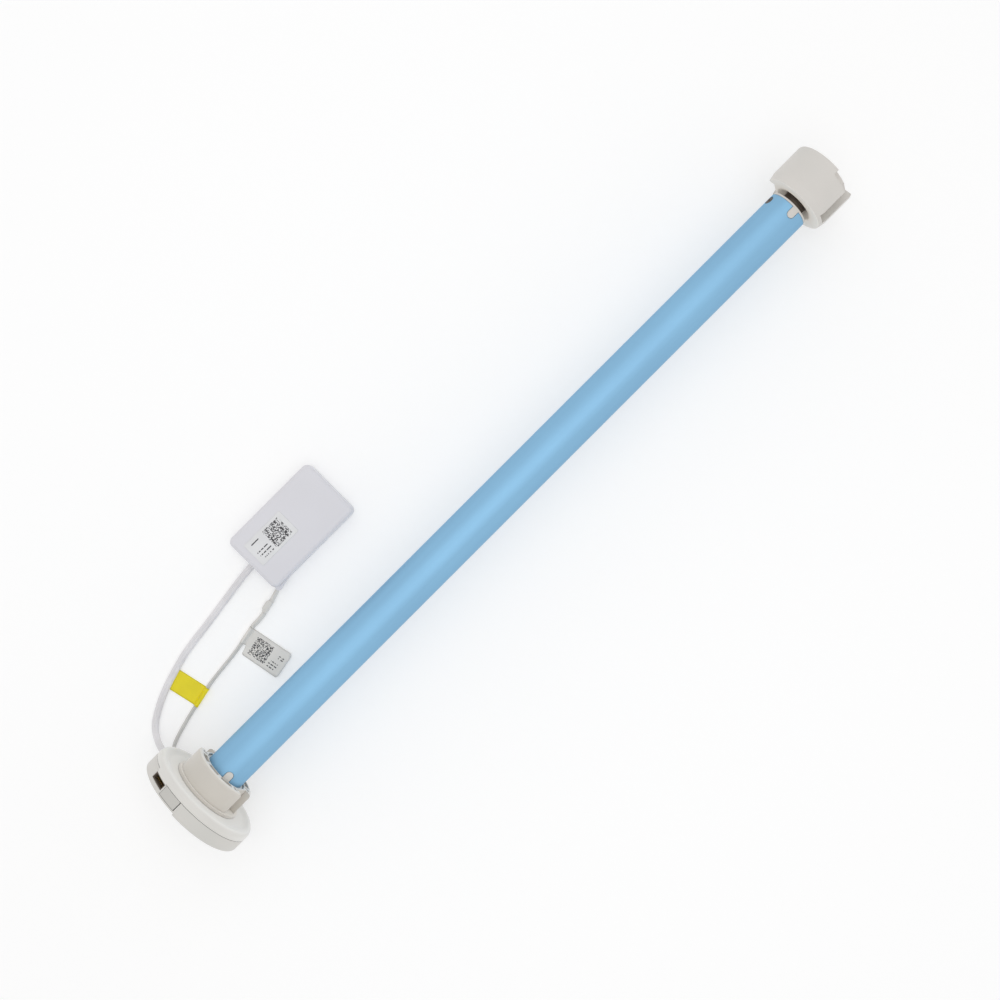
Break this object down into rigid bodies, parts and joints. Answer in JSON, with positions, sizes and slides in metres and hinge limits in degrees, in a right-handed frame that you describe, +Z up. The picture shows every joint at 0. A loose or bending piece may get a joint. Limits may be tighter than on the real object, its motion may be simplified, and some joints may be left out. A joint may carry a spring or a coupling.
{
  "type": "tubular roller blind motor",
  "caption": "Slim tubular motor with round head, free crown, drive wheel and a flat radio module on two leads, for turning a roller blind tube.",
  "frame": {"origin": "centre of the bracket socket's mouth, on the head's end face, on the motor's axis", "axes": "+X along the motor from the head to the drive wheel, +Z up, the radio module lies on +Y"},
  "size_m": [0.5289, 0.1343, 0.072],
  "materials": {
    "shell_plastic": "fine satin, moulded",
    "button_plastic": "fine satin, moulded",
    "black_plastic": "satin",
    "cream_plastic": "satin",
    "module_plastic": "fine satin, moulded",
    "circuit_board": "solder mask",
    "blue_paint": "satin powder coat",
    "cell_can": "wrapped",
    "bright_steel": "zinc plated",
    "dark_steel": "phosphated",
    "contact_brass": "bright",
    "lead_rubber": "smooth jacket",
    "thin_lead_rubber": "smooth jacket",
    "yellow_film": "self-adhesive film",
    "label_paper": "self-adhesive label"
  },
  "bodies": {
    "motor_body": {"head_end_cover": "shell_plastic", "head_front_cover": "shell_plastic", "button_switch": "black_plastic", "head_board": "circuit_board", "port_socket": "black_plastic", "port_contacts": "contact_brass", "cover_screws": "bright_steel", "wide_lead_gland": "lead_rubber", "thin_lead_gland": "lead_rubber", "tube_housing": "blue_paint", "battery_sleeve": "black_plastic", "battery_cells": "cell_can", "board_holder": "cream_plastic", "control_board": "circuit_board", "motor_can": "bright_steel", "motor_end_cap": "cream_plastic", "motor_magnets": "dark_steel", "ring_gear": "bright_steel", "output_bush": "contact_brass", "tube_end_cap": "shell_plastic", "stake_screws": "dark_steel", "module_base": "module_plastic", "module_lid": "module_plastic", "module_board": "circuit_board", "module_sticker": "label_paper", "wide_lead": "lead_rubber", "thin_lead": "thin_lead_rubber", "lead_sleeve": "lead_rubber", "splice_boot": "thin_lead_rubber", "yellow_tag": "yellow_film", "white_flag": "label_paper"},
    "button": {"setting_button": "button_plastic"},
    "crown": {"crown_adaptor": "shell_plastic"},
    "output": {"output_carrier": "bright_steel", "output_shaft": "dark_steel", "drive_wheel": "shell_plastic", "wheel_clip": "bright_steel"},
    "middle_carrier": {"carrier_1": "bright_steel", "sun_gear_2": "cream_plastic"},
    "rotor": {"motor_rotor": "bright_steel", "encoder_magnet": "black_plastic", "sun_gear_1": "contact_brass"},
    "first_planet_a": {"planet_1a": "cream_plastic"},
    "first_planet_b": {"planet_1b": "cream_plastic"},
    "first_planet_c": {"planet_1c": "cream_plastic"},
    "second_planet_a": {"planet_2a": "cream_plastic"},
    "second_planet_b": {"planet_2b": "cream_plastic"},
    "second_planet_c": {"planet_2c": "cream_plastic"}
  },
  "joints": [
    {"name": "button_press", "type": "slide", "parent": "motor_body", "child": "button", "axis": [0, -0.3322, -0.9432], "range_m": [0, 0.0008], "stiffness_N_per_m": 1500},
    {"name": "crown_spin", "type": "hinge", "parent": "motor_body", "child": "crown", "pos_m": [0.0213, 0, 0], "axis": [1, 0, 0], "continuous": true},
    {"name": "output_spin", "type": "hinge", "parent": "motor_body", "child": "output", "pos_m": [0.5174, 0, 0], "axis": [1, 0, 0], "continuous": true},
    {"name": "middle_carrier_spin", "type": "hinge", "parent": "motor_body", "child": "middle_carrier", "pos_m": [0.46, 0, 0], "axis": [1, 0, 0], "continuous": true},
    {"name": "rotor_spin", "type": "hinge", "parent": "motor_body", "child": "rotor", "pos_m": [0.42, 0, 0], "axis": [1, 0, 0], "continuous": true},
    {"name": "first_planet_a_spin", "type": "hinge", "parent": "middle_carrier", "child": "first_planet_a", "pos_m": [0.458, 0, 0.0063], "axis": [1, 0, 0], "continuous": true},
    {"name": "first_planet_b_spin", "type": "hinge", "parent": "middle_carrier", "child": "first_planet_b", "pos_m": [0.458, -0.00546, -0.00315], "axis": [1, 0, 0], "continuous": true},
    {"name": "first_planet_c_spin", "type": "hinge", "parent": "middle_carrier", "child": "first_planet_c", "pos_m": [0.458, 0.00546, -0.00315], "axis": [1, 0, 0], "continuous": true},
    {"name": "second_planet_a_spin", "type": "hinge", "parent": "output", "child": "second_planet_a", "pos_m": [0.471, 0, 0.0063], "axis": [1, 0, 0], "continuous": true},
    {"name": "second_planet_b_spin", "type": "hinge", "parent": "output", "child": "second_planet_b", "pos_m": [0.471, -0.00546, -0.00315], "axis": [1, 0, 0], "continuous": true},
    {"name": "second_planet_c_spin", "type": "hinge", "parent": "output", "child": "second_planet_c", "pos_m": [0.471, 0.00546, -0.00315], "axis": [1, 0, 0], "continuous": true}
  ],
  "couplings": [
    {"joint": "middle_carrier_spin", "follows": "output_spin", "ratio": 5},
    {"joint": "rotor_spin", "follows": "output_spin", "ratio": 25},
    {"joint": "second_planet_a_spin", "follows": "output_spin", "ratio": -2.6667},
    {"joint": "second_planet_b_spin", "follows": "output_spin", "ratio": -2.6667},
    {"joint": "second_planet_c_spin", "follows": "output_spin", "ratio": -2.6667},
    {"joint": "first_planet_a_spin", "follows": "output_spin", "ratio": -13.333},
    {"joint": "first_planet_b_spin", "follows": "output_spin", "ratio": -13.333},
    {"joint": "first_planet_c_spin", "follows": "output_spin", "ratio": -13.333}
  ]
}
